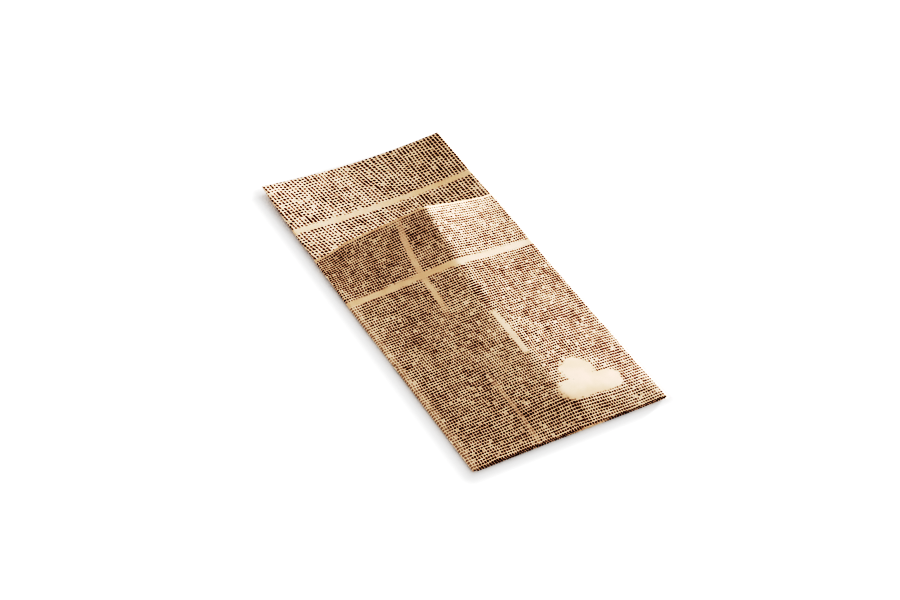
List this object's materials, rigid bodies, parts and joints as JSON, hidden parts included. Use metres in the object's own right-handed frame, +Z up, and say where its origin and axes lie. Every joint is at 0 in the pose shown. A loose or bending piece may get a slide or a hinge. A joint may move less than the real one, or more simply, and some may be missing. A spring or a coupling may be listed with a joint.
{
  "type": "paper napkin",
  "caption": "Printed paper napkin folded to a long rectangle, with a raised front pocket for cutlery above the bottom fold.",
  "frame": {"origin": "centre of the folded outline, on the surface that the napkin lies on", "axes": "+Y towards the top edge of the back panel, +Z up out of the pocket's front, +X to the right with the pocket's mouth at the top"},
  "size_m": [0.112, 0.23, 0.0111],
  "materials": {
    "printed_paper": "soft matt paper with a woven-look print"
  },
  "bodies": {
    "root": {"napkin": "printed_paper"}
  },
  "joints": []
}
